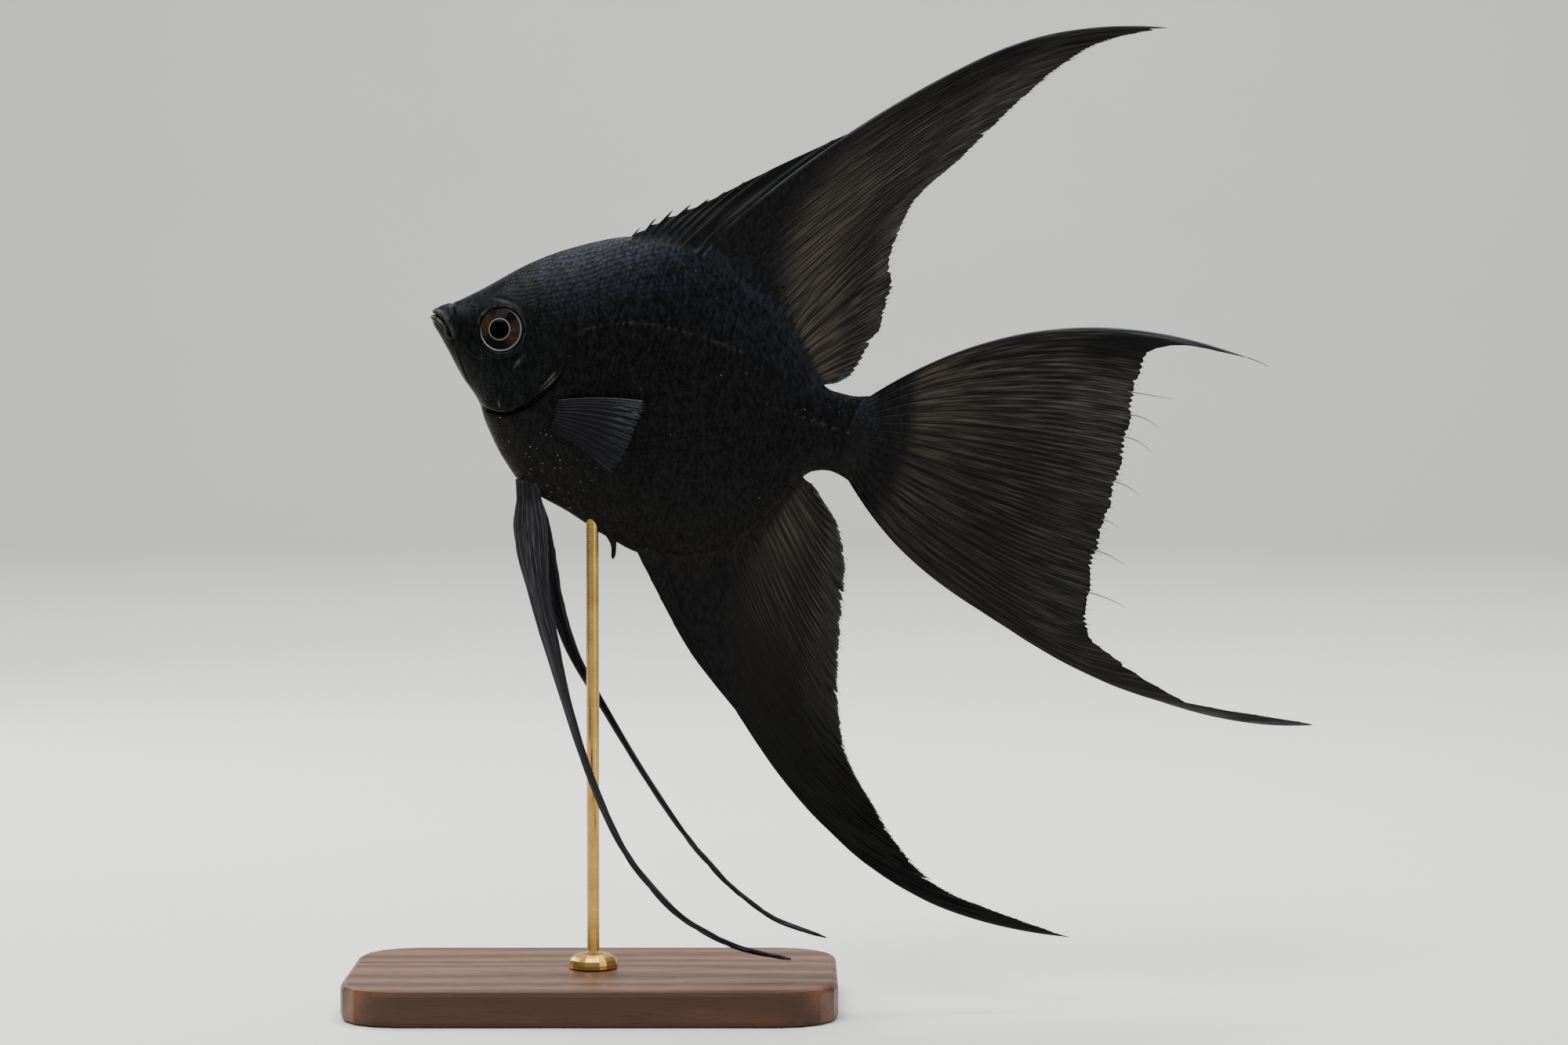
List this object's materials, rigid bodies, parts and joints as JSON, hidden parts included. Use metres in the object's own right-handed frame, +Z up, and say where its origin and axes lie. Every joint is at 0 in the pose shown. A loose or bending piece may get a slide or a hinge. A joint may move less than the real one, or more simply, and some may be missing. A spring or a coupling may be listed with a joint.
{
  "type": "freshwater angelfish",
  "caption": "Life-size black veil-finned freshwater angelfish, swimming head-up with long trailing fins, held by a slim rod on a rounded wooden display base.",
  "frame": {"origin": "on the flat underside of the stand's base, under the axis of its rod", "axes": "+Z up along the rod, -X towards the fish's snout, -Y out of the fish's left side"},
  "size_m": [0.1988, 0.058, 0.2001],
  "materials": {
    "skin": "blue-black scaly fish skin, low sheen",
    "fin": "dusky brown-black fin membrane with fine rays",
    "eye": "wet, glossy dark eye with a thin golden ring",
    "base": "oiled walnut",
    "rod": "satin brass"
  },
  "bodies": {
    "root": {"head": "skin", "upper_jaw": "skin", "lower_jaw": "skin", "trunk": "skin", "tail_root": "skin", "vent_papilla": "skin", "dorsal_spines": "fin", "dorsal_fin": "fin", "anal_spines": "fin", "anal_fin": "fin", "tail_fin": "fin", "pelvic_fin_left": "fin", "pelvic_fin_right": "fin", "pectoral_fin_left": "fin", "pectoral_fin_right": "fin", "eye_left": "eye", "eye_right": "eye", "stand_base": "base", "stand_collar": "rod", "stand_rod": "rod"}
  },
  "joints": []
}
